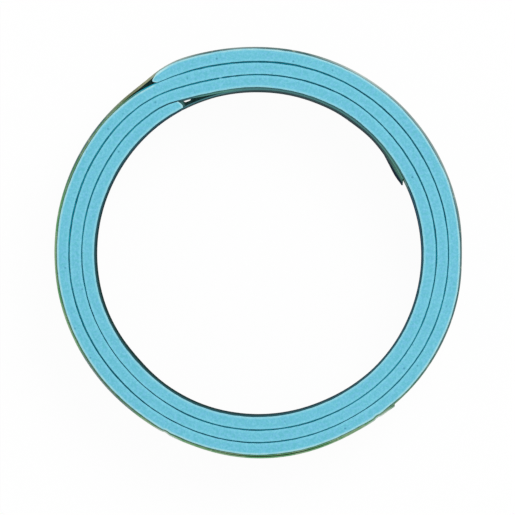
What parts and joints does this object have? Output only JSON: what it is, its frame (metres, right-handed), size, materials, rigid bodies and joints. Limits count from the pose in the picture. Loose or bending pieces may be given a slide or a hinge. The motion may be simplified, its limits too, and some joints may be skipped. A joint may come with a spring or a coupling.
{
  "type": "exhaust gasket",
  "caption": "Flat-lying ring gasket for an exhaust pipe, spiral wound from a thick blue-faced filler strip and a thin metal foil whose tail is spot welded.",
  "frame": {"origin": "on the axis of the bore, at half the ring's height", "axes": "+Z along the bore, square to both faces; +X points from the axis across the ring, so that the foil's inner end lies 25.2 degrees counterclockwise from it, seen from above"},
  "size_m": [0.0598, 0.0606, 0.015],
  "materials": {
    "filler": "matte light blue faces with fine grain, dark edges",
    "foil": "thin rolled steel foil, dull, slightly olive"
  },
  "bodies": {
    "root": {"filler_strip": "filler", "winding_foil": "foil"}
  },
  "joints": []
}
